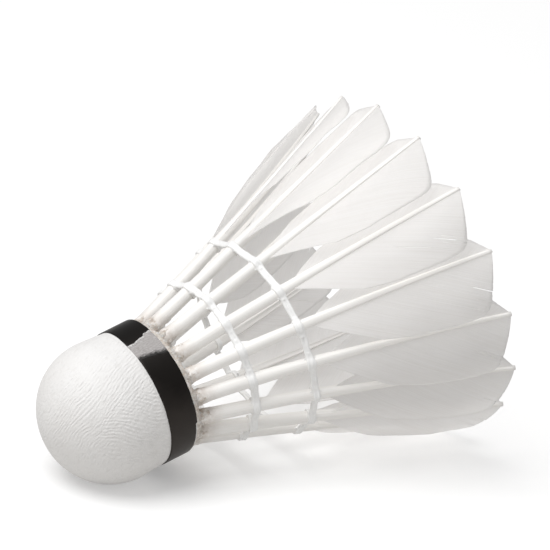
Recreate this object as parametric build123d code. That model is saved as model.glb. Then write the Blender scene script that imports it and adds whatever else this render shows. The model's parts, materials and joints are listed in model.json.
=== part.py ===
"""A feather badminton shuttlecock, lying on its side the way it comes to rest.

Every piece is first drawn about the shuttle's own axis. There Z runs from the nose to the
feather tips, with Z = 0 at the rear edge of the head band, X is the side that ends up on
top, and a feather's own drawing has its shaft in the XZ plane and its broad vane towards +Y.
The whole shuttle is then laid down on the plane Z = 0, nose towards -X, resting on its nose
and on the broad vanes of two neighbouring feathers. All sizes are in millimetres.
"""
from build123d import *

import math
import os

# Head: cork, leather skin and the tape band round its rear edge
BAND_DIAMETER = 27.0
BAND_WIDTH = 5.9
TAPE_THICKNESS = 0.2
LEATHER_THICKNESS = 0.55
STRAIGHT_LEATHER = 4.7
CORK_RECESS = 0.3
LAP_DIRECTION = 17.2
LAP_FRONT_ANGLE = 15.5
LAP_REAR_ANGLE = 23.5
LAP_THICKNESS = 0.12

# Feathers: shafts on a flaring cone, curved slightly outwards and sideways
FEATHERS = 16
SKIRT_LENGTH = 58.6
ROOT_CIRCLE_RADIUS = 10.7
ROOT_FLARE = 18.1
TIP_FLARE = 23.75
TIP_SWEEP = 2.8
ROOT_DEPTH = 9.0
SHAFT_DIAMETERS = (
    (-ROOT_DEPTH, 2.3),
    (-4.0, 2.6),
    (0.0, 2.65),
    (11.7, 2.45),
    (22.8, 2.1),
    (32.0, 1.65),
    (40.0, 1.3),
    (50.0, 1.0),
    (SKIRT_LENGTH, 0.8),
)

# Vanes: (distance from the tip along the shaft, width) along each trimmed outline
VANE_THICKNESS = 0.25
BROAD_RISE = 0.36
BROAD_DROOP = 0.032
BROAD_REACH = 11.0
BROAD_CUT_END = (3.4, 7.6)
BROAD_EDGE = ((4.0, 8.9), (6.0, 9.85), (11.3, 9.6), (18.5, 8.6), (28.4, 5.65), (34.5, 1.6), (36.6, 0.0))
NARROW_FALL = 0.25
NARROW_REACH = 5.5
NARROW_CUT_END = (2.5, 3.3)
NARROW_EDGE = ((6.1, 4.2), (12.6, 4.4), (21.0, 4.4), (25.1, 3.1), (35.6, 0.0))
VANE_SLAB_START = 16.0
VANE_SLAB_END = 64.0
VANE_LEAN_START = 22.0

# Binding: two rows of thread, stitched round every shaft, and glue on the cork's face
THREAD_ROWS = {"thread_lower": 11.9, "thread_upper": 22.8}
THREAD_DIAMETER = 0.55
STRAND_SPACING = 0.66
WRAP_THICKNESS = 0.45
WRAP_WIDTH = 1.7
GLUE_INNER_RADIUS = 8.6
GLUE_OUTER_RADIUS = 12.6
GLUE_HEIGHT = 2.5

# Derived sizes
BAND_RADIUS = BAND_DIAMETER / 2
LEATHER_RADIUS = BAND_RADIUS - TAPE_THICKNESS
CORK_RADIUS = LEATHER_RADIUS - LEATHER_THICKNESS
CORK_TOP = -CORK_RECESS
NOSE_CENTRE = -(BAND_WIDTH + STRAIGHT_LEATHER)
PITCH = 360 / FEATHERS
ROOT_SIN = math.sin(math.radians(ROOT_FLARE))
ROOT_COS = math.cos(math.radians(ROOT_FLARE))
BEND_RADIUS = SKIRT_LENGTH / (math.sin(math.radians(TIP_FLARE)) - ROOT_SIN)
MEAN_FLARE_COS = math.cos(math.radians((ROOT_FLARE + TIP_FLARE) / 2))
CUTTER_SIZE = 3 * BAND_DIAMETER
RIM_SAMPLES = 60
BOTTOM = (Align.CENTER, Align.CENTER, Align.MIN)
TOP = (Align.CENTER, Align.CENTER, Align.MAX)


def flare_at(z):
    """The angle in radians between the shaft and the shuttle's axis at height z."""
    return math.asin(ROOT_SIN + max(z, 0) / BEND_RADIUS)


def sweep_at(z):
    """How far the shaft has curved sideways, towards its broad vane, at height z."""
    return TIP_SWEEP * (max(z, 0) / SKIRT_LENGTH) ** 2


def shaft_radius_at(z):
    """The distance from the shuttle's axis to the shaft's centre line at height z."""
    if z < 0:
        return ROOT_CIRCLE_RADIUS + z * ROOT_SIN / ROOT_COS
    return ROOT_CIRCLE_RADIUS + BEND_RADIUS * (ROOT_COS - math.cos(flare_at(z)))


def shaft_plane(z):
    """The cross-section plane of the shaft at height z, with its x axis pointing sideways."""
    centre = Vector(shaft_radius_at(z), sweep_at(z), z)
    rise = 2 * TIP_SWEEP * max(z, 0) / SKIRT_LENGTH**2
    tangent = Vector(math.tan(flare_at(z)), rise, 1)
    return Plane(origin=centre, x_dir=(0, 1, -rise), z_dir=tangent)


def shaft_solid():
    """One feather's quill, from its root inside the cork to the trimmed tip."""
    sections = [shaft_plane(z) * Circle(diameter / 2) for z, diameter in SHAFT_DIAMETERS]
    return loft(sections)


def vane_slab(profile_points, inner_points):
    """A thin curved sheet, made by turning a cross-section about the shaft's centre of bend."""
    start = flare_at(VANE_SLAB_START)
    end = flare_at(VANE_SLAB_END)
    outward = Vector(math.cos(start), 0, -math.sin(start))
    origin = Vector(shaft_radius_at(VANE_SLAB_START), 0, VANE_SLAB_START)
    section_plane = Plane(origin=origin, x_dir=(0, 1, 0), z_dir=Vector(0, 1, 0).cross(outward))
    outer = ThreePointArc(*profile_points)
    inner = ThreePointArc(*inner_points)
    sides = [Line(outer @ 0, inner @ 0), Line(outer @ 1, inner @ 1)]
    section = section_plane * make_face([outer, inner, *sides])
    centre = origin + outward * BEND_RADIUS
    slab = revolve(section, Axis(centre, (0, 1, 0)), math.degrees(end - start))
    return lean_with_shaft(slab)


def lean_with_shaft(slab):
    """Tips a sheet sideways so that its inner edge follows the shaft's sideways curve."""
    start_sweep = sweep_at(VANE_LEAN_START)
    rise = (TIP_SWEEP - start_sweep) / (SKIRT_LENGTH - VANE_LEAN_START)
    hinge = Axis((0, 0, VANE_LEAN_START), (1, 0, 0))
    leaned = slab.rotate(hinge, -math.degrees(math.atan(rise)))
    return Pos(0, start_sweep, 0) * leaned


def broad_offset(width):
    """How far the broad vane stands outside the shaft at a distance from it."""
    return BROAD_RISE * width - BROAD_DROOP * width**2


def sheet_edges(widths, offset, sideways):
    """The outer and inner lines of a vane's cross-section, each by three points."""
    half = VANE_THICKNESS / 2
    outer = [(sideways * width, offset(width) + half) for width in widths]
    inner = [(sideways * width, offset(width) - half) for width in widths]
    return outer, inner


def outline_prism(cut_end, edge, sideways):
    """The trimmed outline of a vane, extruded straight out from the shuttle's axis."""
    def place(point):
        height = SKIRT_LENGTH - point[0] * MEAN_FLARE_COS
        return (sideways * point[1] + sweep_at(height), height)

    tip = place((0, 0))
    corner = place(cut_end)
    rim = [corner] + [place(point) for point in edge]
    lines = [Line(tip, corner), Spline(*rim), Line(rim[-1], tip)]
    outline = Plane.YZ * make_face(lines)
    return extrude(outline, amount=2 * BAND_DIAMETER, dir=(1, 0, 0))


def vane_halves(shaft):
    """The broad and the narrow vane of one feather, as two solids beside its shaft."""
    broad_widths = (0, BROAD_REACH / 2, BROAD_REACH)
    broad_sheet = vane_slab(*sheet_edges(broad_widths, broad_offset, 1))
    broad = broad_sheet & outline_prism(BROAD_CUT_END, BROAD_EDGE, 1)
    narrow_widths = (0, NARROW_REACH / 2, NARROW_REACH)
    narrow_sheet = vane_slab(*sheet_edges(narrow_widths, narrow_offset, -1))
    narrow = narrow_sheet & outline_prism(NARROW_CUT_END, NARROW_EDGE, -1)
    return [largest(broad - shaft), largest(narrow - shaft)]


def narrow_offset(width):
    """The narrow vane falls inwards, with a slight belly so that its section is an arc."""
    belly = 0.01 * width * (NARROW_REACH - width)
    return belly - NARROW_FALL * width


def largest(shape):
    """The biggest solid of a shape, without any crumbs that a cut leaves beside it."""
    return max(shape.solids(), key=lambda solid: solid.volume)


def head_profile(radius, top):
    """A round-nosed plug of the given radius whose flat rear face is at height top."""
    body = Pos(0, 0, NOSE_CENTRE) * Cylinder(radius, top - NOSE_CENTRE, align=BOTTOM)
    return half_ball(radius) + body


def half_ball(radius):
    """The round front of the head, up to the plane where its straight sides begin."""
    return Pos(0, 0, NOSE_CENTRE) * Sphere(radius, arc_size1=-90, arc_size2=0, align=TOP)


def cork_pieces(shafts):
    """The solid nose and the drilled disc behind it that holds the quills."""
    disc_height = CORK_TOP - NOSE_CENTRE
    disc = Pos(0, 0, NOSE_CENTRE) * Cylinder(CORK_RADIUS, disc_height, align=BOTTOM)
    for shaft in shafts:
        disc = disc - shaft
    return half_ball(CORK_RADIUS), disc


def leather_cover():
    """The kid leather skin, one thin cup drawn over the cork."""
    return head_profile(LEATHER_RADIUS, CORK_TOP) - head_profile(CORK_RADIUS, CORK_TOP)


def tape_ring(thickness):
    """A full turn of tape on the leather, from the band's front edge to its rear edge."""
    start = Pos(0, 0, -BAND_WIDTH)
    outer = start * Cylinder(LEATHER_RADIUS + thickness, BAND_WIDTH, align=BOTTOM)
    inner = start * Cylinder(LEATHER_RADIUS, BAND_WIDTH, align=BOTTOM)
    return outer - inner


def lap_cutter():
    """A wedge over the stretch where the black tape's two ends stay apart."""
    def half_width(z):
        share = (z + BAND_WIDTH) / BAND_WIDTH
        angle = LAP_FRONT_ANGLE + share * (LAP_REAR_ANGLE - LAP_FRONT_ANGLE)
        return BAND_RADIUS * math.sin(math.radians(angle / 2))

    front = -BAND_WIDTH - 1
    rear = 1
    corners = [
        (-half_width(front), front),
        (half_width(front), front),
        (half_width(rear), rear),
        (-half_width(rear), rear),
    ]
    wedge = extrude(Plane.YZ * make_face(Polyline(*corners, close=True)), amount=CUTTER_SIZE, dir=(1, 0, 0))
    return wedge.rotate(Axis.Z, LAP_DIRECTION)


def glue_ring(shafts):
    """The bead of glue on the cork's rear face, round the foot of every quill."""
    inner = (GLUE_INNER_RADIUS, CORK_TOP)
    outer = (GLUE_OUTER_RADIUS, CORK_TOP)
    crest = ((GLUE_INNER_RADIUS + GLUE_OUTER_RADIUS) / 2, GLUE_HEIGHT + CORK_TOP)
    section = Plane.XZ * make_face([ThreePointArc(inner, crest, outer), Line(outer, inner)])
    bead = revolve(section, Axis.Z)
    for shaft in shafts:
        bead = bead - shaft
    return bead


def shaft_diameter_at(z):
    """The quill's diameter at height z, between the listed ones."""
    for (low, low_diameter), (high, high_diameter) in zip(SHAFT_DIAMETERS, SHAFT_DIAMETERS[1:]):
        if low <= z <= high:
            share = (z - low) / (high - low)
            return low_diameter + share * (high_diameter - low_diameter)
    raise ValueError(z)


def thread_span(z, offset):
    """One strand of thread, straight from the first feather's shaft to the next one's."""
    start = shaft_plane(z).origin + Vector(0, 0, offset)
    end = start.rotate(Axis.Z, PITCH)
    path = end - start
    return Plane(origin=start, z_dir=path) * Cylinder(THREAD_DIAMETER / 2, path.length, align=BOTTOM)


def thread_row(z, places, shafts):
    """A row of stitching: two strands between neighbouring shafts and a wrap on each shaft."""
    wrap_radius = shaft_diameter_at(z) / 2 + WRAP_THICKNESS
    wrap = shaft_plane(z) * Cylinder(wrap_radius, WRAP_WIDTH)
    stitch = [wrap] + [thread_span(z, side * STRAND_SPACING / 2) for side in (-1, 1)]
    stitches = [piece.rotate(Axis.Z, place) for place in places for piece in stitch]
    row = stitches[0].fuse(*stitches[1:])
    for shaft in shafts:
        row = row - shaft
    return row


def rim_points(vane):
    """Points on a broad vane's edges, as (height, radius, angle from the feather's place)."""
    points = []
    for edge in vane.edges():
        for sample in range(RIM_SAMPLES + 1):
            spot = edge @ (sample / RIM_SAMPLES)
            angle = math.degrees(math.atan2(spot.Y, spot.X))
            points.append((spot.Z, math.hypot(spot.X, spot.Y), angle))
    return points


def slope_on(point):
    """The shuttle's slope when its nose and one point of two neighbouring vanes touch the ground."""
    height, radius, _ = point
    depth = radius * math.cos(math.radians(PITCH / 2))
    along = height - NOSE_CENTRE
    return math.atan2(depth, along) - math.asin(LEATHER_RADIUS / math.hypot(depth, along))


def feather_places(rest_point):
    """Every feather's angle round the axis, with the two resting vanes evenly beside the lowest line."""
    first = 180 - PITCH / 2 - rest_point[2] - (FEATHERS / 2 - 1) * PITCH
    return [first + number * PITCH for number in range(FEATHERS)]


def laying_down(slope):
    """The move that lays the shuttle on its side, nose towards -X."""
    axis = (math.cos(slope), 0, math.sin(slope))
    top_side = (-math.sin(slope), 0, math.cos(slope))
    return Plane(origin=(0, 0, 0), x_dir=top_side, z_dir=axis).location


def build_nodes(shaft, vanes, places):
    """Every node of the shuttle, about its own axis."""
    shafts = [shaft.rotate(Axis.Z, place) for place in places]
    cork_nose, cork_disc = cork_pieces(shafts)
    cutter = lap_cutter()
    nodes = {
        "cork_nose": cork_nose,
        "cork_disc": cork_disc,
        "leather_cover": leather_cover(),
        "head_band": tape_ring(TAPE_THICKNESS) - cutter,
        "band_lap": tape_ring(LAP_THICKNESS) & cutter,
        "glue_ring": glue_ring(shafts),
    }
    for name, height in THREAD_ROWS.items():
        nodes[name] = thread_row(height, places, shafts)
    for number, place in enumerate(places, start=1):
        nodes[f"quill_{number:02d}"] = shafts[number - 1]
        nodes[f"vane_{number:02d}"] = Compound([vane.rotate(Axis.Z, place) for vane in vanes])
    return nodes


def centre_on_ground(nodes):
    """Moves every node so that the origin is below the middle of the shuttle, on the ground."""
    box = Compound([solid for shape in nodes.values() for solid in shape.solids()]).bounding_box()
    shift = Pos(-box.center().X, -box.center().Y, -box.min.Z)
    return {name: shift * shape for name, shape in nodes.items()}


def main():
    shaft = shaft_solid()
    vanes = vane_halves(shaft)
    rest_point = max(rim_points(vanes[0]), key=slope_on)
    lay = laying_down(slope_on(rest_point))
    nodes = build_nodes(shaft, vanes, feather_places(rest_point))
    placed = centre_on_ground({name: lay * shape for name, shape in nodes.items()})
    os.makedirs("parts", exist_ok=True)
    for name, shape in placed.items():
        export_step(shape, f"parts/{name}.step")
    print("slope", math.degrees(slope_on(rest_point)), "feather places", feather_places(rest_point))


main()
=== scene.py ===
import bpy
import json
import math
import random
import numpy as np
from mathutils import Matrix, Vector
from mathutils import noise as mnoise

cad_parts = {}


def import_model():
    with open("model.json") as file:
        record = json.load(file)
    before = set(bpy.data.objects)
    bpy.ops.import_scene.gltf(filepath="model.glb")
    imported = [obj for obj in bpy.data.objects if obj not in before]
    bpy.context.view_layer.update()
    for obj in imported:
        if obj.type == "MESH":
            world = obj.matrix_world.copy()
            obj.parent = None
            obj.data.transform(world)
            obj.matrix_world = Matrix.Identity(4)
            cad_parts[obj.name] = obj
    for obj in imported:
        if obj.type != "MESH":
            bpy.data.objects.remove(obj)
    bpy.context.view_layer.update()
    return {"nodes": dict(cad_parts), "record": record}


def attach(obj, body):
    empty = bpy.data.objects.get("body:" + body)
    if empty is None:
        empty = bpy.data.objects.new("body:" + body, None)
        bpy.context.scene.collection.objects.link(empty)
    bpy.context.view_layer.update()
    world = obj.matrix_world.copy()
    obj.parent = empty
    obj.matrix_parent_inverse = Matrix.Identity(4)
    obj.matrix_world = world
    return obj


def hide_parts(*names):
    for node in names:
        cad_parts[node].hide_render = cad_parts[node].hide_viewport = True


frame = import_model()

# ---------------------------------------------------------------- sizes, in millimetres
BAND_WIDTH = 5.9
BAND_RADIUS = 13.5
LEATHER_RADIUS = 13.3
NOSE_CENTRE = -10.6
LAP_DIRECTION = 17.2
LENGTH = 58.6
ROOT_RADIUS = 10.7
ROOT_SIN = math.sin(math.radians(18.1))
ROOT_COS = math.cos(math.radians(18.1))
BEND = LENGTH / (math.sin(math.radians(23.75)) - ROOT_SIN)
FLARE_COS = math.cos(math.radians(20.9))
TIP_SWEEP = 2.8
FEATHERS = 16
FIRST_PLACE = -8.31
PITCH = 360.0 / FEATHERS
SHAFT_Z = [-2.0, 0.0, 11.7, 22.8, 32.0, 40.0, 50.0, 58.6]
SHAFT_D = [2.85, 2.88, 2.66, 2.22, 1.68, 1.3, 1.0, 0.8]
BROAD_RIM = [(0, 0), (3.6, 8.3), (4.4, 9.9), (5.3, 10.7), (6.6, 11.0), (9.0, 11.1), (12.0, 10.9), (19.0, 10.0),
             (28.0, 7.5), (33.6, 3.8), (37.4, 0.0)]
NARROW_RIM = [(0, 0), (2.5, 3.3), (3.6, 3.9), (6.1, 4.2), (12.6, 4.4), (21, 4.4), (27, 3.7), (32, 2.0), (36.2, 0)]
THREAD_ROWS = (11.9, 22.8)
NARROW_FALL = {1: -0.06, 16: 0.05, 12: 0.18, 10: 0.32, 7: 0.22}
USUAL_FALL = 0.25
VANE_THICKNESS = 0.14
TAPE_THICKNESS = 0.2
TAPE_BOW = 0.62
STRAND_RADIUS = 0.37
STRAND_APART = 0.34
WRAP_RADIUS = 0.23
RESIN_GRAIN = 0.115
KERATIN_CLEAR = 0.75
BARBS_CLEAR = 0.82
BARBS_THROUGH = 0.58

# ---------------------------------------------------------------- the shuttle's own frame
collar = [m for m in frame["record"]["mounts"] if m["name"] == "head_collar"][0]
AXIS = -Vector(collar["axis"]).normalized()
ORIGIN = Vector(collar["pos_m"]) + AXIS * 0.00295
TOPSIDE = Vector((-AXIS.z, 0, AXIS.x))
SIDE = AXIS.cross(TOPSIDE)
LAY = np.array([TOPSIDE, SIDE, AXIS])

# the head's near side: along the ground, upwards, and straight out of it
NEAR_RIGHT = Vector((0.821, -0.563, 0.092)).normalized()
NEAR_OUT = Vector((-0.552, -0.742, 0.380)).normalized()
NEAR_UP = NEAR_OUT.cross(NEAR_RIGHT).normalized()


def world(points):
    """Points about the shuttle's own axis, in millimetres, as world points in metres."""
    return np.array(ORIGIN) + (np.asarray(points, float) @ LAY) * 0.001


def turned(points, degrees):
    """Points turned round the shuttle's axis."""
    a = math.radians(degrees)
    c, s = math.cos(a), math.sin(a)
    p = np.asarray(points, float)
    return np.stack([p[..., 0] * c - p[..., 1] * s, p[..., 0] * s + p[..., 1] * c, p[..., 2]], -1)


def rough(points, scale, seed=0.0):
    """Smooth noise from about -1 to 1 at each point; scale is the size of its lumps."""
    p = np.asarray(points, float).reshape(-1, 3) / scale + seed * 7.31
    return np.array([mnoise.noise(Vector(q)) for q in p])


def new_piece(name, verts, faces, material, replaced, uv=None):
    """One visible piece of the shuttle from world points, riding on the shuttle's body."""
    mesh = bpy.data.meshes.new(name)
    mesh.from_pydata([tuple(v) for v in verts], [], faces)
    mesh.update()
    mesh.polygons.foreach_set("use_smooth", [True] * len(mesh.polygons))
    if uv is not None:
        layer = mesh.uv_layers.new(name="Along")
        index = np.empty(len(mesh.loops), dtype=np.int32)
        mesh.loops.foreach_get("vertex_index", index)
        layer.data.foreach_set("uv", np.asarray(uv, float)[index].astype(np.float32).ravel())
    mesh.materials.append(material)
    piece = bpy.data.objects.new(name, mesh)
    bpy.context.scene.collection.objects.link(piece)
    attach(piece, "root")
    if replaced:
        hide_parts(*replaced)
    return piece


def grid_faces(rows, cols, start=0, close_cols=False, close_rows=False):
    """Quads over a rows x cols grid of points."""
    faces = []
    for r in range(rows if close_rows else rows - 1):
        for c in range(cols if close_cols else cols - 1):
            a = start + r * cols + c
            b = start + r * cols + (c + 1) % cols
            d = start + ((r + 1) % rows) * cols + c
            e = start + ((r + 1) % rows) * cols + (c + 1) % cols
            faces.append((a, b, e, d))
    return faces


def flipped(faces):
    return [tuple(reversed(f)) for f in faces]


def moved_on(faces, count):
    """The same faces over points that start count places later."""
    return [tuple(i + count for i in f) for f in faces]


def slab_faces(rows, cols):
    """Front, back and edge faces of a thin slab: a grid of points, then the same grid behind it."""
    count = rows * cols
    front = grid_faces(rows, cols)
    loop = list(range(cols)) + [r * cols + cols - 1 for r in range(1, rows)]
    loop += [(rows - 1) * cols + c for c in range(cols - 2, -1, -1)] + [r * cols for r in range(rows - 2, 0, -1)]
    rim = [(b, a, a + count, b + count) for a, b in zip(loop, loop[1:] + loop[:1])]
    return front + flipped(moved_on(front, count)) + rim


# ---------------------------------------------------------------- materials
def material(name):
    mat = bpy.data.materials.new(name)
    mat.use_nodes = True
    return mat, mat.node_tree, mat.node_tree.nodes["Principled BSDF"]


def node(tree, kind, **values):
    made = tree.nodes.new(kind)
    for key, value in values.items():
        if key in made.inputs:
            made.inputs[key].default_value = value
        else:
            setattr(made, key, value)
    return made


def ramp(tree, source, stops):
    made = tree.nodes.new("ShaderNodeValToRGB")
    tree.links.new(source, made.inputs["Fac"])
    while len(made.color_ramp.elements) < len(stops):
        made.color_ramp.elements.new(0.5)
    for element, (place, colour) in zip(made.color_ramp.elements, stops):
        element.position = place
        element.color = (*colour, 1)
    return made.outputs["Color"]


def stretched(tree, coords, scale):
    """Coordinates scaled by a different amount along each axis."""
    mapping = node(tree, "ShaderNodeMapping")
    mapping.inputs["Scale"].default_value = scale
    tree.links.new(coords, mapping.inputs["Vector"])
    return mapping.outputs["Vector"]


def noise_on(tree, coords, scale, detail=3.0, roughness=0.5, distortion=0.0):
    made = node(tree, "ShaderNodeTexNoise", Scale=scale, Detail=detail, Roughness=roughness, Distortion=distortion)
    tree.links.new(coords, made.inputs["Vector"])
    return made.outputs["Fac"]


def bump(tree, height, distance, strength=1.0, onto=None):
    made = node(tree, "ShaderNodeBump", Distance=distance, Strength=strength)
    tree.links.new(height, made.inputs["Height"])
    if onto is not None:
        tree.links.new(onto, made.inputs["Normal"])
    return made.outputs["Normal"]


def map_range(tree, value, low, high, to_low=0.0, to_high=1.0):
    made = node(tree, "ShaderNodeMapRange")
    tree.links.new(value, made.inputs["Value"])
    for key, number in (("From Min", low), ("From Max", high), ("To Min", to_low), ("To Max", to_high)):
        made.inputs[key].default_value = number
    return made.outputs["Result"]


def scaled_sum(tree, value, factor, added):
    """value x factor + added."""
    made = node(tree, "ShaderNodeMath", operation="MULTIPLY_ADD")
    tree.links.new(value, made.inputs[0])
    made.inputs[1].default_value = factor
    tree.links.new(added, made.inputs[2])
    return made.outputs["Value"]


def dot_with(tree, where, direction):
    made = node(tree, "ShaderNodeVectorMath", operation="DOT_PRODUCT")
    tree.links.new(where, made.inputs[0])
    made.inputs[1].default_value = direction
    return made.outputs["Value"]


def colour_mix(tree, factor, first, second, blend="MIX"):
    """A mix of two colours; each of the three values may be a socket or a plain value."""
    made = node(tree, "ShaderNodeMix", data_type="RGBA", blend_type=blend)
    for socket, value in ((made.inputs["Factor"], factor), (made.inputs[6], first), (made.inputs[7], second)):
        if isinstance(value, bpy.types.NodeSocket):
            tree.links.new(value, socket)
        else:
            socket.default_value = value
    return made.outputs[2]


def parts_of(tree, vector):
    split = node(tree, "ShaderNodeSeparateXYZ")
    tree.links.new(vector, split.inputs["Vector"])
    return split.outputs


def object_coords(tree):
    return tree.nodes.new("ShaderNodeTexCoord").outputs["Object"]


def uv_coords(tree):
    made = tree.nodes.new("ShaderNodeUVMap")
    made.uv_map = "Along"
    return made.outputs["UV"]


def crease_texture(tree, where, slant, count):
    """Fine broken creases that run obliquely over the nose."""
    across = math.cos(slant) * NEAR_UP - math.sin(slant) * NEAR_RIGHT
    along = math.cos(slant) * NEAR_RIGHT + math.sin(slant) * NEAR_UP
    join = node(tree, "ShaderNodeCombineXYZ")
    for k, (direction, scale) in enumerate(((across, count), (along, count * 0.36), (NEAR_OUT, count * 0.38))):
        tree.links.new(dot_with(tree, where, direction * scale), join.inputs[k])
    lines = noise_on(tree, join.outputs["Vector"], 1.0, detail=2.0, roughness=0.5, distortion=0.2)
    return map_range(tree, lines, 0.3, 0.62)


def leather_material():
    mat, tree, shader = material("leather_kid")
    where = object_coords(tree)
    pores = noise_on(tree, where, 2600.0, detail=2.0, roughness=0.6)
    cells = node(tree, "ShaderNodeTexVoronoi", Scale=1500.0)
    cells.feature = "DISTANCE_TO_EDGE"
    tree.links.new(where, cells.inputs["Vector"])
    crease = crease_texture(tree, where, math.radians(50), 2100.0)
    normal = bump(tree, crease, 0.00008, 0.7)
    normal = bump(tree, pores, 0.00006, 1.0, onto=normal)
    normal = bump(tree, cells.outputs["Distance"], 0.00003, 0.6, onto=normal)
    tree.links.new(normal, shader.inputs["Normal"])
    tint = ramp(tree, noise_on(tree, where, 90.0), [(0.3, (0.79, 0.777, 0.765)), (0.7, (0.825, 0.817, 0.809))])
    # Painted shade: the colour is darkened a little in the crease valleys, where shade falls.
    painted_crease_shade = ramp(tree, crease, [(0.0, (0.955, 0.95, 0.945)), (0.45, (1, 1, 1))])
    tree.links.new(colour_mix(tree, 1.0, tint, painted_crease_shade, "MULTIPLY"), shader.inputs["Base Color"])
    shader.inputs["Roughness"].default_value = 0.62
    shader.inputs["Specular IOR Level"].default_value = 0.35
    return mat


def tape_material():
    """Black tape, greyer low down: a painted reflection of the floor on its lower side."""
    mat, tree, shader = material("tape_black")
    where = object_coords(tree)
    grain = noise_on(tree, where, 3200.0, detail=2.0)
    tree.links.new(bump(tree, grain, 0.00002, 0.45), shader.inputs["Normal"])
    # Painted reflection: between 6 and 20 mm above the floor the colour turns from black to grey-brown, standing in
    # for the floor's light on the satin tape, with a patchy edge.
    patchy = noise_on(tree, where, 260.0, detail=5.0)
    height = scaled_sum(tree, patchy, -0.006, parts_of(tree, where)["Z"])
    above_painted_reflection = map_range(tree, height, 0.006, 0.020)
    tint = ramp(tree, above_painted_reflection, [(0.0, (0.024, 0.0195, 0.017)), (0.55, (0.020, 0.0165, 0.0145)),
                              (1.0, (0.0012, 0.0008, 0.0006))])
    tree.links.new(tint, shader.inputs["Base Color"])
    shader.inputs["Roughness"].default_value = 0.36
    shader.inputs["Specular IOR Level"].default_value = 0.24
    shader.inputs["Specular Tint"].default_value = (1.0, 0.92, 0.86, 1)
    return mat


def backing_material():
    """Bare grey fibres, with black worn off the tape at one end."""
    mat, tree, shader = material("tape_backing")
    uv = uv_coords(tree)
    fibres = noise_on(tree, stretched(tree, uv, (34, 9, 1)), 1.6, detail=5.0, roughness=0.65)
    tint = ramp(tree, fibres, [(0.3, (0.27, 0.248, 0.243)), (0.5, (0.39, 0.37, 0.362)), (0.7, (0.52, 0.505, 0.50))])
    from_end = scaled_sum(tree, fibres, 0.16, parts_of(tree, uv)["X"])
    bare = map_range(tree, from_end, 0.115, 0.19)
    colour = colour_mix(tree, bare, (0.02, 0.018, 0.017, 1), tint)
    tree.links.new(colour, shader.inputs["Base Color"])
    tree.links.new(bump(tree, fibres, 0.00008, 0.7), shader.inputs["Normal"])
    shader.inputs["Roughness"].default_value = 0.75
    return mat


def torn_material():
    mat, tree, shader = material("tape_torn_edge")
    where = object_coords(tree)
    fibres = noise_on(tree, where, 2500.0, detail=4.0)
    tint = ramp(tree, fibres, [(0.3, (0.55, 0.53, 0.52)), (0.7, (0.85, 0.84, 0.83))])
    tree.links.new(tint, shader.inputs["Base Color"])
    shader.inputs["Roughness"].default_value = 0.85
    return mat


def glue_material():
    mat, tree, shader = material("glue_dried")
    where = object_coords(tree)
    lumps = noise_on(tree, where, 1350.0, detail=4.0, roughness=0.68)
    fine = noise_on(tree, where, 2600.0, detail=2.0)
    tint = ramp(tree, lumps, [(0.3, (0.47, 0.395, 0.335)), (0.5, (0.70, 0.645, 0.59)), (0.68, (0.87, 0.845, 0.815))])
    tree.links.new(tint, shader.inputs["Base Color"])
    normal = bump(tree, lumps, 0.0005, 0.9)
    tree.links.new(bump(tree, fine, 0.00005, 0.5, onto=normal), shader.inputs["Normal"])
    shader.inputs["Roughness"].default_value = 0.42
    shader.inputs["Subsurface Weight"].default_value = 0.2
    shader.inputs["Subsurface Radius"].default_value = (0.0012, 0.0009, 0.0007)
    shader.inputs["Subsurface Scale"].default_value = 1.0
    return mat


def thread_material():
    mat, tree, shader = material("thread_in_resin")
    where = object_coords(tree)
    resin = noise_on(tree, where, 900.0, detail=3.0)
    tint = ramp(tree, resin, [(0.3, (0.87, 0.867, 0.86)), (0.7, (0.93, 0.93, 0.925))])
    tree.links.new(tint, shader.inputs["Base Color"])
    tree.links.new(bump(tree, resin, 0.00008, 0.5), shader.inputs["Normal"])
    shader.inputs["Roughness"].default_value = 0.34
    shader.inputs["Specular IOR Level"].default_value = 0.4
    return mat


def let_light_past(tree, surface, share):
    """Thin pale keratin lets part of the direct light past, so its shadows are light."""
    path = tree.nodes.new("ShaderNodeLightPath")
    part = node(tree, "ShaderNodeMath", operation="MULTIPLY")
    tree.links.new(path.outputs["Is Shadow Ray"], part.inputs[0])
    part.inputs[1].default_value = share
    clear = tree.nodes.new("ShaderNodeBsdfTransparent")
    mix = node(tree, "ShaderNodeMixShader")
    tree.links.new(part.outputs["Value"], mix.inputs["Fac"])
    tree.links.new(surface, mix.inputs[1])
    tree.links.new(clear.outputs["BSDF"], mix.inputs[2])
    tree.links.new(mix.outputs["Shader"], tree.nodes["Material Output"].inputs["Surface"])


def quill_material():
    """Ivory keratin, with dried glue round the root."""
    mat, tree, shader = material("quill_keratin")
    uv = uv_coords(tree)
    where = object_coords(tree)
    streaks = noise_on(tree, stretched(tree, uv, (30, 2.2, 1)), 3.0, detail=4.0, roughness=0.6)
    tint = ramp(tree, streaks, [(0.3, (0.845, 0.815, 0.78)), (0.5, (0.905, 0.89, 0.865)),
                                (0.72, (0.935, 0.925, 0.91))])
    crust = noise_on(tree, where, 900.0, detail=4.0, roughness=0.65)
    crust_tint = ramp(tree, crust, [(0.35, (0.62, 0.555, 0.50)), (0.65, (0.87, 0.84, 0.81))])
    height = scaled_sum(tree, crust, -0.06, parts_of(tree, uv)["Y"])
    near_root = map_range(tree, height, 0.0, 0.032, 1.0, 0.0)
    tree.links.new(colour_mix(tree, near_root, tint, crust_tint), shader.inputs["Base Color"])
    tree.links.new(bump(tree, streaks, 0.00006, 0.45), shader.inputs["Normal"])
    shader.inputs["Roughness"].default_value = 0.40
    shader.inputs["Specular IOR Level"].default_value = 0.45
    let_light_past(tree, shader.outputs["BSDF"], KERATIN_CLEAR)
    return mat


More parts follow.
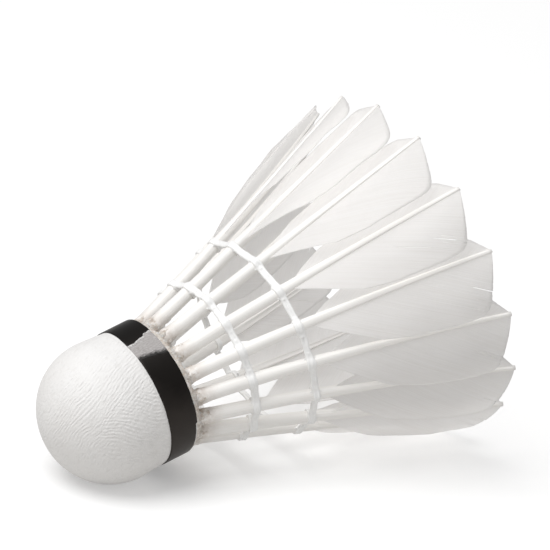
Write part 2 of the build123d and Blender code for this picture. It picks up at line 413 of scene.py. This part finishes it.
def vane_material():
    """White barbs with fine ribs, thin enough to glow from behind."""
    mat, tree, shader = material("vane_barbs")
    uv = uv_coords(tree)
    barbs = noise_on(tree, stretched(tree, uv, (300, 1.6, 1)), 1.0, detail=2.0, roughness=0.6)
    bands = noise_on(tree, stretched(tree, uv, (38, 0.8, 1)), 1.0, detail=4.0, roughness=0.6)
    tint = ramp(tree, bands, [(0.25, (0.86, 0.848, 0.835)), (0.55, (0.895, 0.888, 0.882)),
                              (0.85, (0.915, 0.911, 0.911))])
    tree.links.new(tint, shader.inputs["Base Color"])
    normal = bump(tree, bands, 0.00012, 0.35)
    tree.links.new(bump(tree, barbs, 0.00003, 0.45, onto=normal), shader.inputs["Normal"])
    shader.inputs["Roughness"].default_value = 0.55
    shader.inputs["Specular IOR Level"].default_value = 0.3
    through = node(tree, "ShaderNodeBsdfTranslucent")
    tree.links.new(tint, through.inputs["Color"])
    mix = node(tree, "ShaderNodeMixShader")
    mix.inputs["Fac"].default_value = BARBS_THROUGH
    tree.links.new(shader.outputs["BSDF"], mix.inputs[1])
    tree.links.new(through.outputs["BSDF"], mix.inputs[2])
    let_light_past(tree, mix.outputs["Shader"], BARBS_CLEAR)
    return mat


def cork_material():
    mat, tree, shader = material("cork_natural")
    where = object_coords(tree)
    grain = noise_on(tree, where, 500.0, detail=5.0, roughness=0.7)
    tint = ramp(tree, grain, [(0.32, (0.20, 0.12, 0.06)), (0.45, (0.50, 0.36, 0.22)), (0.75, (0.66, 0.52, 0.35))])
    tree.links.new(tint, shader.inputs["Base Color"])
    tree.links.new(bump(tree, grain, 0.0003, 0.6), shader.inputs["Normal"])
    shader.inputs["Roughness"].default_value = 0.8
    return mat


LEATHER = leather_material()
TAPE = tape_material()
BACKING = backing_material()
TORN = torn_material()
GLUE = glue_material()
THREAD = thread_material()
QUILL = quill_material()
VANE = vane_material()
CORK = cork_material()


# ---------------------------------------------------------------- feather lines
def flare(z):
    return np.arcsin(ROOT_SIN + np.maximum(z, 0) / BEND)


def sweep(z):
    return TIP_SWEEP * (np.maximum(z, 0) / LENGTH) ** 2


def shaft_radius(z):
    straight = ROOT_RADIUS + np.minimum(z, 0) * ROOT_SIN / ROOT_COS
    return straight + BEND * (ROOT_COS - np.cos(flare(z)))


def on_feather(height, sideways, outward):
    """A feather's point at a height, so far to the side of its shaft and so far outside it."""
    f = flare(height)
    z = height + outward * np.sin(f)
    f = flare(z)
    x = shaft_radius(z) + outward * np.cos(f)
    return np.stack([x, sideways + sweep(z), z - outward * np.sin(f)], -1)


def broad_offset(s, w):
    rise = 0.268 + (0.411 - 0.268) * np.clip(s / 12.0, 0, 1)
    return rise * w - 0.033 * w ** 2


def narrow_offset(s, w, fall=USUAL_FALL):
    return 0.01 * w * (5.5 - w) - fall * w


def rim_width(rim, s):
    xs = [p[0] for p in rim]
    ws = [p[1] for p in rim]
    return np.interp(s, xs, ws, left=-1, right=0)


def smooth_rim(rim):
    """The outline with its corners after the cut end rounded off."""
    xs = np.linspace(rim[1][0], rim[-1][0], 500)
    ws = np.interp(xs, [p[0] for p in rim], [p[1] for p in rim])
    soft = ws.copy()
    for _ in range(60):
        soft[1:-1] = (soft[:-2] + 2 * soft[1:-1] + soft[2:]) / 4
    return [rim[0]] + list(zip(xs.tolist(), soft.tolist()))


BROAD = smooth_rim(BROAD_RIM)
NARROW = smooth_rim(NARROW_RIM)


def barb_slip(w, start, end, reach):
    """How much nearer the tip a barb has come at width w."""
    return start * w + (end - start) / (2 * reach) * w ** 2


def vane_mesh(number, side, rng):
    """One half of a vane, barb by barb: its points, its uv and its faces."""
    broad = side > 0
    rim = BROAD if broad else NARROW
    offset = broad_offset if broad else narrow_offset
    reach = 11.5 if broad else 4.6
    slip = (1.25, 1.75) if broad else (1.7, 2.2)
    rows, cols = (230, 17) if broad else (190, 9)
    base = 37.0 if broad else 35.8
    starts = np.linspace(0.05, base, rows)
    widths = np.linspace(0, reach + 0.4, 420)
    s_path = starts[:, None] - barb_slip(widths, *slip, reach)[None, :]
    inside = (widths[None, :] <= rim_width(rim, s_path)) & (s_path > 0)
    inside[:, 0] = True
    ends = np.array([widths[np.argmin(row) - 1] if not row.all() else widths[-1] for row in inside])
    ends = np.maximum(ends, 0.02)
    seed = number * 3.7 + (0 if broad else 50)
    jag = rough(np.stack([starts, starts * 0, starts * 0], -1), 0.5, seed)
    ends = ends * (1 + 0.006 * jag) - 0.05 * np.abs(jag)
    ends = np.maximum(ends, 0.02)
    t = np.linspace(0, 1, cols) ** 0.9
    w = ends[:, None] * t[None, :]
    s = starts[:, None] - barb_slip(w, *slip, reach)
    # each split: where its barbs start, where it opens, how wide, how much it lifts
    splits = []
    if broad:
        for _ in range(rng.choice((1, 2, 2, 3))):
            splits.append((rng.uniform(9, 24), rng.uniform(0.6, 0.85), rng.uniform(0.04, 0.16),
                           rng.uniform(-0.16, 0.16)))
        if number == 3:
            splits = [(17.2, 0.70, 0.05, 0.14), (18.3, 0.62, 0.06, -0.12), (19.4, 0.72, 0.05, 0.12),
                      (21.8, 0.38, 0.07, 0.20)]
        if number < 3:
            splits = []
    elif number > 3 and rng.random() < 0.5:
        splits.append((rng.uniform(8, 22), rng.uniform(0.3, 0.6), rng.uniform(0.05, 0.15), rng.uniform(-0.1, 0.1)))
    lift = np.zeros_like(w)
    cut_rows = []
    for where, begin, gap, raise_by in splits:
        row = int(np.argmin(np.abs(starts - where)))
        open_by = np.clip((t - begin) / (1 - begin), 0, 1)[None, :] ** 1.3
        away = starts[:, None] - (starts[row] + 1e-6)
        s = s + np.where(away > 0, 1, -1) * gap * 0.5 * open_by * np.exp(-np.abs(away) / 0.9)
        lift = lift + np.where(away > 0, 1, -0.4) * raise_by * open_by * np.exp(-np.abs(away) / 1.6)
        cut_rows.append((row, int(np.searchsorted(t, begin))))
    flat = np.stack([s.ravel() * 0.16, w.ravel() * 0.10, np.full(s.size, seed)], -1)
    wave = rough(flat, 1.0).reshape(w.shape)
    streak = rough(np.stack([starts * 3.1, starts * 0, starts * 0 + seed], -1), 1.0)
    fine = np.array([rng.uniform(-1, 1) for _ in starts])
    edge = np.clip(w / reach, 0, 1)
    bend = {} if broad else {"fall": NARROW_FALL.get(number, USUAL_FALL)}
    outward = offset(s, w, **bend) + wave * 0.32 * edge + lift
    outward = outward + (streak * 0.022 + fine * 0.006)[:, None] * np.clip(w / 1.2, 0, 1)
    height = LENGTH - np.maximum(s, -0.02) * FLARE_COS
    points = on_feather(height, side * w, outward)
    uv = np.stack([np.broadcast_to(starts[:, None], w.shape), w], -1).reshape(-1, 2)
    faces = []
    for r in range(rows - 1):
        for c in range(cols - 1):
            if any(r == row and c >= begin for row, begin in cut_rows):
                continue
            a, b, d, e = r * cols + c, r * cols + c + 1, (r + 1) * cols + c, (r + 1) * cols + c + 1
            faces.append((a, b, e, d) if broad else (a, d, e, b))
    return points.reshape(-1, 3), uv, faces


def shaft_ring(z, sides=20):
    """The quill's cross-section at height z: round at the root, squarer and grooved further up."""
    f = float(flare(z))
    r = float(np.interp(z, SHAFT_Z, SHAFT_D)) / 2
    square = float(np.clip((z - 18) / 22, 0, 1))
    power = 2 / (2 + 1.6 * square)
    out = np.array([math.cos(f), 0, -math.sin(f)])
    centre = np.array([float(shaft_radius(z)), float(sweep(z)), z])
    ring = []
    for k in range(sides):
        a = 2 * math.pi * k / sides
        c, s = math.cos(a), math.sin(a)
        n = math.copysign(abs(c) ** power, c) * r * (1 + 0.08 * square)
        b = math.copysign(abs(s) ** power, s) * r * (1 - 0.1 * square)
        if c < -0.8:
            n += square * 0.45 * r * (abs(c) - 0.8) / 0.2
        ring.append(centre + out * n + np.array([0, b, 0]))
    return ring


def quill_mesh(number):
    """One quill: its rings, slightly uneven, with dried glue on its foot."""
    heights = np.concatenate([np.linspace(-1.0, 6.0, 36), np.linspace(6.4, LENGTH, 70)])
    sides = 20
    rings = np.array([shaft_ring(z, sides) for z in heights])
    centres = rings.mean(1, keepdims=True)
    swell = 1 + 0.025 * rough(np.stack([heights * 0.12, heights * 0, heights * 0 + number], -1), 1.0)[:, None, None]
    rings = centres + (rings - centres) * swell
    crust = np.clip((4.3 - heights) / 1.8, 0, 1)[:, None]
    shape = rings.shape[:2]
    lumps = rough(rings, 0.55, number).reshape(shape) * 0.16 + rough(rings, 1.5, number + 9).reshape(shape) * 0.2
    out = (rings - centres) / np.linalg.norm(rings - centres, axis=2, keepdims=True)
    rings = rings + out * (crust * (0.12 + lumps))[:, :, None]
    uv = np.stack([np.broadcast_to(np.abs(np.arange(sides) / sides - 0.5)[None, :], shape) + number * 0.37,
                   np.broadcast_to(heights[:, None] / 100, shape)], -1).reshape(-1, 2)
    rows = len(heights)
    faces = flipped(grid_faces(rows, sides, close_cols=True))
    faces.append(tuple(range(sides)))
    faces.append(tuple(reversed(range((rows - 1) * sides, rows * sides))))
    return rings.reshape(-1, 3), uv, faces


def make_feathers():
    for number in range(1, FEATHERS + 1):
        rng = random.Random(40 + number)
        place = FIRST_PLACE + (number - 1) * PITCH
        points, uv, faces = quill_mesh(number)
        name = f"quill_shaft_{number:02d}"
        new_piece(name, world(turned(points, place)), faces, QUILL, [f"quill_{number:02d}"], uv)
        broad, broad_uv, broad_faces = vane_mesh(number, 1, rng)
        narrow, narrow_uv, narrow_faces = vane_mesh(number, -1, rng)
        faces = broad_faces + moved_on(narrow_faces, len(broad))
        points = np.concatenate([broad, narrow])
        uv = np.concatenate([broad_uv, narrow_uv + [41.0, 3.0]])
        uv = uv * [0.1, 0.1] + [number * 5.1, 0]
        piece = new_piece(f"vane_barbs_{number:02d}", world(turned(points, place)), faces, VANE,
                          [f"vane_{number:02d}"], uv)
        thick = piece.modifiers.new("Thickness", "SOLIDIFY")
        thick.thickness = VANE_THICKNESS * 0.001
        thick.offset = 0
        thick.use_rim = True


# ---------------------------------------------------------------- head
def crease_depth(points, normals):
    """Fine creases in the leather: oblique ones over the nose, level ones low on the near side."""
    right, up, toward = NEAR_RIGHT, NEAR_UP, NEAR_OUT
    a = math.radians(52)
    across_1 = -math.sin(a) * right + math.cos(a) * up
    along_1 = math.cos(a) * right + math.sin(a) * up
    across_2 = 0.12 * right + up
    along_2 = right - 0.12 * up
    level_spot = (right * 0.50 - up * 0.34 + toward * 0.80).normalized()
    oblique_spot = (right * 0.08 + up * 0.12 + toward * 0.99).normalized()
    p = np.asarray(points)
    warp = rough(p, 5.0, 2.0)
    warp_fine = rough(p, 1.6, 4.0)

    def family(across, along, wave, seed):
        q = p @ np.array(across) + warp * 0.7 + warp_fine * 0.16
        r = p @ np.array(along)
        d = p @ np.array(toward)
        sample = np.stack([q / (wave * 1.6), r / 1.7, d / 2.0], -1)
        value = rough(sample, 1.0, seed)
        ridge = np.sin(2 * math.pi * q / wave + value * 2.0)
        broken = rough(np.stack([q / 0.9, r / 1.1, d / 1.3], -1), 1.0, seed + 2.0)
        return ridge * np.clip(0.65 + 1.1 * broken, 0.12, 1)

    first = family(across_1, along_1, 0.56, 11.0)
    second = family(across_2, along_2, 0.66, 23.0)
    near_level = np.clip((normals @ np.array(level_spot) - 0.76) / 0.16, 0, 1)
    near_oblique = np.clip((normals @ np.array(oblique_spot) - 0.35) / 0.5, 0, 1)
    patch = 0.75 + 0.5 * rough(p, 3.4, 31.0)
    patch_2 = 0.6 + 0.5 * rough(p, 2.6, 37.0)
    depth = first * (0.30 + 0.70 * near_oblique) * (1 - 0.9 * near_level) * patch * 0.056
    return depth + second * (0.08 + 0.92 * near_level) * patch_2 * 0.10


def make_leather():
    cols = 620
    polar = np.radians(np.linspace(0.35, 90, 205))
    straight = np.concatenate([np.linspace(NOSE_CENTRE + 0.14, -BAND_WIDTH - 0.1, 34), [-5.6, -3.0, -0.12]])
    rows = []
    for angle in polar:
        rows.append((LEATHER_RADIUS * math.sin(angle), NOSE_CENTRE - LEATHER_RADIUS * math.cos(angle)))
    for z in straight:
        rows.append((LEATHER_RADIUS, z))
    rows += [(LEATHER_RADIUS - 0.06, -0.02), (LEATHER_RADIUS - 0.3, 0.03), (LEATHER_RADIUS - 0.6, 0.0)]
    theta = np.linspace(0, 2 * math.pi, cols, endpoint=False)
    r = np.array([q[0] for q in rows])
    z = np.array([q[1] for q in rows])
    p = np.stack([r[:, None] * np.cos(theta), r[:, None] * np.sin(theta), np.repeat(z[:, None], cols, 1)], -1)
    centre = np.array([0, 0, NOSE_CENTRE])
    normal = p - centre
    normal[..., 2] = np.minimum(normal[..., 2], 0)
    normal /= np.linalg.norm(normal, axis=2, keepdims=True)
    flat_p = p.reshape(-1, 3)
    flat_n = normal.reshape(-1, 3)
    shown = len(polar) + 34
    amount = np.zeros(len(flat_p))
    count = shown * cols
    amount[:count] = crease_depth(world(flat_p[:count]) * 1000, flat_n[:count] @ LAY)
    fade = np.clip((-BAND_WIDTH - 0.1 - flat_p[:, 2]) / 0.5, 0, 1)
    amount = amount * fade
    along = np.clip((flat_p[:, 2] - NOSE_CENTRE) / 4.7, 0, 1)
    turn = np.clip((NOSE_CENTRE - flat_p[:, 2]) / LEATHER_RADIUS, 0, 1)
    fuller = (0.12 + 0.30 * (1 - along) + 0.16 * np.sin(math.pi * turn) - 0.24 * turn) * fade
    sag = rough(flat_p, 9.0, 3.0) * 0.04 * fade + fuller
    flat_p = flat_p + flat_n * (amount + sag - 0.03 * fade)[:, None]
    faces = flipped(grid_faces(len(rows), cols, close_cols=True))
    pole = len(flat_p)
    flat_p = np.concatenate([flat_p, flat_p[:cols].mean(0, keepdims=True)])
    faces += [(pole, c, (c + 1) % cols) for c in range(cols)]
    skin = world(flat_p)
    skin[:, 2] = np.maximum(skin[:, 2], 0.00004)
    new_piece("leather_skin", skin, faces, LEATHER, ["leather_cover"])


def lap_edges(z):
    """The angles of the black tape's two ends at height z."""
    share = (z + BAND_WIDTH) / BAND_WIDTH
    half = (15.5 + share * (23.5 - 15.5)) / 2
    spot = np.stack([z, z * 0, z * 0], -1)
    upper_tear = rough(spot, 0.8, 5.0) * 1.1 + rough(spot, 0.25, 6.0) * 0.5
    upper_tear = upper_tear + np.where(z > -1.9, -2.6, 0.0) * np.clip((z + 1.9) / 0.35, 0, 1)
    lower_tear = rough(spot, 0.9, 8.0) * 0.9 + rough(spot, 0.2, 9.0) * 0.4
    return LAP_DIRECTION - half + 4.2 + upper_tear, LAP_DIRECTION + half + 4.4 + lower_tear


def make_band():
    """The black tape, from its lower end round the head to its upper end."""
    rows, cols = 44, 1400
    z = np.linspace(-BAND_WIDTH, 0, rows)
    low, high = lap_edges(z)
    t = np.linspace(0, 1, cols)
    angle = np.radians(high[:, None] + (low + 360 - high)[:, None] * t[None, :])
    zz = np.repeat(z[:, None], cols, 1)
    round_trip = np.stack([np.cos(angle[0]) * 9, np.sin(angle[0]) * 9, angle[0] * 0], -1)
    front = rough(round_trip, 1.1, 12.0) * 0.05 + rough(round_trip, 0.3, 13.0) * 0.025
    rear = rough(round_trip, 1.4, 14.0) * 0.06 + rough(round_trip, 0.35, 15.0) * 0.03
    degrees = np.degrees(angle[0]) % 360
    rear = rear - 0.32 * np.clip((degrees - 96) / 1.2, 0, 1) * np.clip((150 - degrees) / 12, 0, 1)
    share = (zz + BAND_WIDTH) / BAND_WIDTH
    bow = TAPE_BOW * np.exp(-(((degrees + 205) % 360 - 180) / 26) ** 2)
    zz = zz + (front + bow)[None, :] * (1 - share) + (rear + bow)[None, :] * share
    edge = np.minimum(np.clip(share * BAND_WIDTH / 0.25, 0, 1), np.clip((1 - share) * BAND_WIDTH / 0.25, 0, 1))
    radius = LEATHER_RADIUS + TAPE_THICKNESS - 0.07 * (1 - edge) ** 2
    ends = np.minimum(t, 1 - t) * 2 * math.pi * BAND_RADIUS
    radius = radius - 0.05 * np.clip(1 - ends[None, :] / 0.3, 0, 1)
    spots = np.stack([np.cos(angle) * BAND_RADIUS, np.sin(angle) * BAND_RADIUS, zz], -1)
    dents = np.abs(rough(spots[::2, ::4], 2.4, 16.0)).reshape(rows // 2, -1)
    radius = radius - 0.02 * dents.repeat(2, 0).repeat(4, 1)[:rows, :cols]
    outer = np.stack([np.cos(angle) * radius, np.sin(angle) * radius, zz], -1).reshape(-1, 3)
    inner_radius = LEATHER_RADIUS + 0.004
    inner = np.stack([np.cos(angle) * inner_radius, np.sin(angle) * inner_radius, zz], -1).reshape(-1, 3)
    new_piece("band_black_tape", world(np.concatenate([outer, inner])), slab_faces(rows, cols), TAPE,
              ["head_band"])


def make_lap():
    """The bare grey stretch between the black tape's two ends."""
    rows, cols = 40, 60
    z = np.linspace(-BAND_WIDTH + 0.05, -0.02, rows)
    low, high = lap_edges(z)
    t = np.linspace(0, 1, cols)
    angle = np.radians((low - 1.5)[:, None] + (high - low + 3.0)[:, None] * t[None, :])
    zz = np.repeat(z[:, None], cols, 1)
    spots = np.stack([np.cos(angle) * BAND_RADIUS, np.sin(angle) * BAND_RADIUS, zz], -1)
    wrinkle = rough(spots, 0.9, 18.0).reshape(rows, cols) * 0.02 + rough(spots, 0.3, 19.0).reshape(rows, cols) * 0.008
    radius = LEATHER_RADIUS + 0.11 + wrinkle
    radius = radius - 0.09 * np.clip(1 - np.minimum(t, 1 - t) / 0.05, 0, 1)[None, :]
    outer = np.stack([np.cos(angle) * radius, np.sin(angle) * radius, zz], -1).reshape(-1, 3)
    under = LEATHER_RADIUS + 0.002
    inner = np.stack([np.cos(angle) * under, np.sin(angle) * under, zz], -1).reshape(-1, 3)
    from_end = (np.radians(high)[:, None] - angle) * BAND_RADIUS
    uv = np.stack([from_end.ravel(), zz.ravel()], -1) * 0.1
    new_piece("band_backing", world(np.concatenate([outer, inner])), slab_faces(rows, cols), BACKING,
              ["band_lap"], np.concatenate([uv, uv]))


def make_torn_edge():
    """The pale fibres along the upper torn end of the tape."""
    rng = random.Random(5)
    verts, faces = [], []
    fibres = 90
    for k in range(fibres):
        z = -BAND_WIDTH + 0.1 + (BAND_WIDTH - 0.2) * k / (fibres - 1)
        edge = lap_edges(np.array([z]))[0][0]
        length = rng.uniform(0.3, 1.0) * 0.42
        width = rng.uniform(0.03, 0.07)
        start = math.radians(edge - 0.3)
        end = start + (length + 0.06) / BAND_RADIUS
        lean = rng.uniform(-0.1, 0.1)
        base = len(verts)
        for a, zc, r in ((start, z - width, 0.205), (start, z + width, 0.205), (end, z + lean + width * 0.3, 0.14),
                         (end, z + lean - width * 0.3, 0.14)):
            for extra in (0, -0.03):
                radius = LEATHER_RADIUS + r + extra
                verts.append((radius * math.cos(a), radius * math.sin(a), zc))
        box = [(0, 2, 4, 6), (1, 7, 5, 3), (0, 1, 3, 2), (2, 3, 5, 4), (4, 5, 7, 6), (6, 7, 1, 0)]
        faces += moved_on(box, base)
    new_piece("tape_torn_fibres", world(verts), faces, TORN, [])


# ---------------------------------------------------------------- glue and threads
def make_glue():
    """The dried glue round the quills' feet: an uneven bead with a collar up every quill."""
    cols, section = 900, 26
    theta = np.linspace(0, 360, cols, endpoint=False)
    from_quill = np.abs((theta - FIRST_PLACE + PITCH / 2) % PITCH - PITCH / 2) * math.pi / 180 * 11
    near = np.exp(-(from_quill / 1.1) ** 2)
    crest = 1.75 + 1.0 * near
    u = np.linspace(0, math.pi, section)
    inner, outer = 8.5, 13.28
    mid, half = (inner + outer) / 2, (outer - inner) / 2
    r = mid - half * np.cos(u)[:, None] + np.zeros((1, cols))
    r = np.where(r > mid, mid + (r - mid) * (1 - 0.1 * near[None, :]), r)
    z = -0.25 + np.sin(u)[:, None] ** 0.75 * crest[None, :]
    p = np.stack([r * np.cos(np.radians(theta)), r * np.sin(np.radians(theta)), z], -1)
    flat = p.reshape(-1, 3)
    lumps = rough(flat, 1.6, 40.0) * 0.28 + rough(flat, 0.6, 41.0) * 0.16
    lumps = lumps + np.abs(rough(flat, 0.32, 42.0)) * 0.10
    keep = np.repeat(np.sin(u)[:, None], cols, 1).ravel()
    flat = flat + np.stack([flat[:, 0] * 0, flat[:, 0] * 0, lumps * keep], -1)
    away = flat[:, :2] / np.linalg.norm(flat[:, :2], axis=1, keepdims=True)
    flat[:, :2] += away * (rough(flat, 0.7, 43.0) * 0.12 * keep)[:, None]
    faces = flipped(grid_faces(section, cols, close_cols=True))
    verts = [flat]
    count = len(flat)
    for number in range(FEATHERS):
        place = FIRST_PLACE + number * PITCH
        heights = np.linspace(0.2, 4.6, 34)
        sides = 40
        rings = np.array([shaft_ring(h, sides) for h in heights])
        centres = rings.mean(1, keepdims=True)
        out = (rings - centres) / np.linalg.norm(rings - centres, axis=2, keepdims=True)
        shape = rings.shape[:2]
        edge = 3.6 + rough(rings[0], 0.8, number + 3.0) * 1.2
        share = np.clip((edge[None, :] - heights[:, None]) / 3.2, 0, 1)
        thick = share ** 1.2 * 0.55 - 0.06 * (share <= 0)
        bumps = rough(rings, 0.7, number + 60).reshape(shape) * 0.24
        bumps = bumps + rough(rings, 0.35, number + 80).reshape(shape) * 0.10
        grow = (thick + bumps * np.clip(share * 3, 0, 1)) - 0.05
        rings = rings + out * grow[:, :, None]
        verts.append(turned(rings.reshape(-1, 3), place))
        faces += flipped(grid_faces(len(heights), sides, start=count, close_cols=True))
        count += len(heights) * sides
    new_piece("glue_bead", world(np.concatenate(verts)), faces, GLUE, ["glue_ring"])


def tube(path, outward, radius, sides=8):
    """A closed tube round a closed path of points; outward says roughly which way is out at each."""
    ahead = np.roll(path, -1, 0) - np.roll(path, 1, 0)
    ahead /= np.linalg.norm(ahead, axis=1, keepdims=True)
    radial = outward - ahead * np.sum(outward * ahead, 1, keepdims=True)
    radial /= np.linalg.norm(radial, axis=1, keepdims=True)
    other = np.cross(ahead, radial)
    rings = np.stack([path + (radial * math.cos(a) + other * math.sin(a)) * radius
                      for a in np.linspace(0, 2 * math.pi, sides, endpoint=False)], 1)
    return rings.reshape(-1, 3), grid_faces(len(path), sides, close_cols=True, close_rows=True)


def thread_strand(height, shift, seed):
    """One strand: straight from quill to quill, over the outside of each."""
    rq = float(np.interp(height, SHAFT_Z, SHAFT_D)) / 2
    f = float(flare(height))
    n = 1120
    theta = np.linspace(0, 360, n, endpoint=False)
    local = (theta - FIRST_PLACE + PITCH / 2) % PITCH - PITCH / 2
    place = theta - local
    z0 = height + shift
    at_quill = float(shaft_radius(z0)) + rq * 0.92 * math.cos(f) + 0.12
    reach = at_quill * math.cos(math.radians(PITCH / 2)) / np.cos(np.radians(PITCH / 2 - np.abs(local)))
    arc = np.abs(local) * math.pi / 180 * at_quill
    over = np.exp(-(arc / (rq * 1.15)) ** 2)
    radius = reach - (1 - over) * 0.5
    wobble = rough(np.stack([np.cos(np.radians(theta)) * 6, np.sin(np.radians(theta)) * 6, theta * 0], -1), 1.0, seed)
    z = z0 + wobble * 0.12 + np.sin(np.radians(place * 3 + seed * 40)) * 0.10 * (1 - over)
    turn = np.radians(theta) + float(sweep(height)) / at_quill
    return np.stack([radius * np.cos(turn), radius * np.sin(turn), z], -1)


def make_thread(name, node_name, height, seed):
    """One row of thread: two strands, their wraps round every quill, and resin in the corners."""
    verts, faces, count = [], [], 0

    def add(points, more):
        nonlocal count
        verts.append(points)
        faces.extend(moved_on(more, count))
        count += len(points)

    for shift, extra in ((-STRAND_APART, 0.0), (STRAND_APART, 1.0)):
        path = thread_strand(height, shift, seed + extra)
        add(*tube(path, path * [1, 1, 0], STRAND_RADIUS))
    rq = float(np.interp(height, SHAFT_Z, SHAFT_D)) / 2
    rng = random.Random(int(seed * 10))
    for number in range(FEATHERS):
        place = FIRST_PLACE + number * PITCH
        for level in (-0.42, 0.0, 0.42):
            z = height + level * rng.uniform(0.8, 1.15)
            slope = rng.uniform(-0.22, 0.22)
            f = float(flare(z))
            centre = np.array([float(shaft_radius(z)), float(sweep(z)), z])
            out = np.array([math.cos(f), 0, -math.sin(f)])
            ahead = np.array([math.sin(f), 0, math.cos(f)])
            a = np.linspace(0, 2 * math.pi, 48, endpoint=False)
            r = rq + 0.17
            loop = centre + r * (np.cos(a)[:, None] * out + np.sin(a)[:, None] * np.array([0, 1, 0]))
            loop = loop + (slope * np.sin(a + rng.uniform(0, 6)))[:, None] * ahead
            points, loop_faces = tube(loop, loop - centre, WRAP_RADIUS)
            add(turned(points, place), loop_faces)
        for side in (-1, 1):
            points, web_faces = resin_web(height, side, rq, rng)
            add(turned(points, place), web_faces)
    piece = new_piece(name, world(np.concatenate(verts)), faces, THREAD, [node_name])
    merge = piece.modifiers.new("Resin", "REMESH")
    merge.mode = "VOXEL"
    merge.voxel_size = RESIN_GRAIN * 0.001
    merge.use_smooth_shade = True
    soften = piece.modifiers.new("Soften", "SMOOTH")
    soften.factor = 0.6
    soften.iterations = 7


def resin_web(height, side, rq, rng):
    """A small web of resin in the corner between a quill and the threads."""
    steps, across = 9, 7
    reach = rng.uniform(0.9, 1.5)
    tall = rng.uniform(0.75, 1.15)
    f = float(flare(height))
    centre = np.array([float(shaft_radius(height)), float(sweep(height)), height])
    out = np.array([math.cos(f), 0, -math.sin(f)])
    ahead = np.array([math.sin(f), 0, math.cos(f)])
    points = []
    for face in (1, -1):
        for i in range(steps):
            x = i / (steps - 1)
            half = 0.45 + tall * (1 - x) ** 2
            sideways = rq * 0.75 + x * reach
            lift = 0.35 * rq + (0.55 * rq - 0.35 * rq) * x
            thick = 0.26 - 0.06 * x
            for j in range(across):
                v = -1 + 2 * j / (across - 1)
                bulge = thick * (1 - 0.75 * v * v)
                curl = -sideways ** 2 / 34.0
                points.append(centre + np.array([0, side * sideways, 0]) + ahead * half * v
                              + out * (lift + curl + face * bulge))
    faces = slab_faces(steps, across)
    return np.array(points), flipped(faces) if side > 0 else faces


# ---------------------------------------------------------------- stage, light and camera
def make_stage():
    """A plain pale floor that bounces less light than it shows."""
    mesh = bpy.data.meshes.new("floor")
    half, level = 3, -0.00002
    corners = [(-half, -half, level), (half, -half, level), (half, half, level), (-half, half, level)]
    mesh.from_pydata(corners, [], [(0, 1, 2, 3)])
    floor = bpy.data.objects.new("floor", mesh)
    bpy.context.scene.collection.objects.link(floor)
    mat, tree, shader = material("studio_floor")
    path = tree.nodes.new("ShaderNodeLightPath")
    bounced, shown = (0.46, 0.45, 0.435, 1), (0.80, 0.80, 0.80, 1)
    tree.links.new(colour_mix(tree, path.outputs["Is Camera Ray"], bounced, shown), shader.inputs["Base Color"])
    shader.inputs["Emission Color"].default_value = (1, 1, 1, 1)
    shader.inputs["Emission Strength"].default_value = 0.24
    shader.inputs["Roughness"].default_value = 0.9
    shader.inputs["Specular IOR Level"].default_value = 0.0
    mesh.materials.append(mat)


def area_light(name, place, target, size, power):
    data = bpy.data.lights.new(name, "AREA")
    data.shape = "DISK"
    data.size = size
    data.energy = power
    lamp = bpy.data.objects.new(name, data)
    lamp.location = place
    aim = Vector(target) - Vector(place)
    lamp.rotation_euler = aim.to_track_quat("-Z", "Y").to_euler()
    bpy.context.scene.collection.objects.link(lamp)


def make_light():
    """A broad lamp overhead and a sky that is brighter on the head's side."""
    area_light("key", (-0.39, 0.08, 0.91), (0.0, 0.0, 0.02), 0.9, 7.4)
    scene_world = bpy.data.worlds.new("studio")
    bpy.context.scene.world = scene_world
    scene_world.use_nodes = True
    tree = scene_world.node_tree
    back = tree.nodes["Background"]
    where = tree.nodes.new("ShaderNodeTexCoord").outputs["Generated"]
    facing = dot_with(tree, where, Vector((-0.62, -0.40, 0.68)).normalized())
    tree.links.new(map_range(tree, facing, 0.0, 0.75, 0.27, 0.62), back.inputs["Strength"])
    back.inputs["Color"].default_value = (1, 1, 1, 1)


def make_camera():
    data = bpy.data.cameras.new("camera")
    data.lens = 464.45
    data.sensor_width = 36
    data.clip_end = 20
    camera = bpy.data.objects.new("camera", data)
    right = Vector((0.82095, -0.56346, 0.09235))
    up = Vector((0.14566, 0.36300, 0.92028))
    back = Vector((-0.55211, -0.74207, 0.38007))
    turn = Matrix((right, up, back)).transposed().to_4x4()
    camera.matrix_world = Matrix.Translation((-0.72764, -0.98289, 0.53853)) @ turn
    bpy.context.scene.collection.objects.link(camera)
    bpy.context.scene.camera = camera


def finish_cad_nodes():
    for name in ("cork_nose", "cork_disc"):
        part = frame["nodes"][name]
        part.data.materials.clear()
        part.data.materials.append(CORK)


make_camera()
make_stage()
make_light()
make_feathers()
make_leather()
make_band()
make_lap()
make_torn_edge()
make_glue()
make_thread("thread_lower_bound", "thread_lower", THREAD_ROWS[0], 3.0)
make_thread("thread_upper_bound", "thread_upper", THREAD_ROWS[1], 7.0)
finish_cad_nodes()
bpy.context.scene.view_settings.view_transform = "Standard"
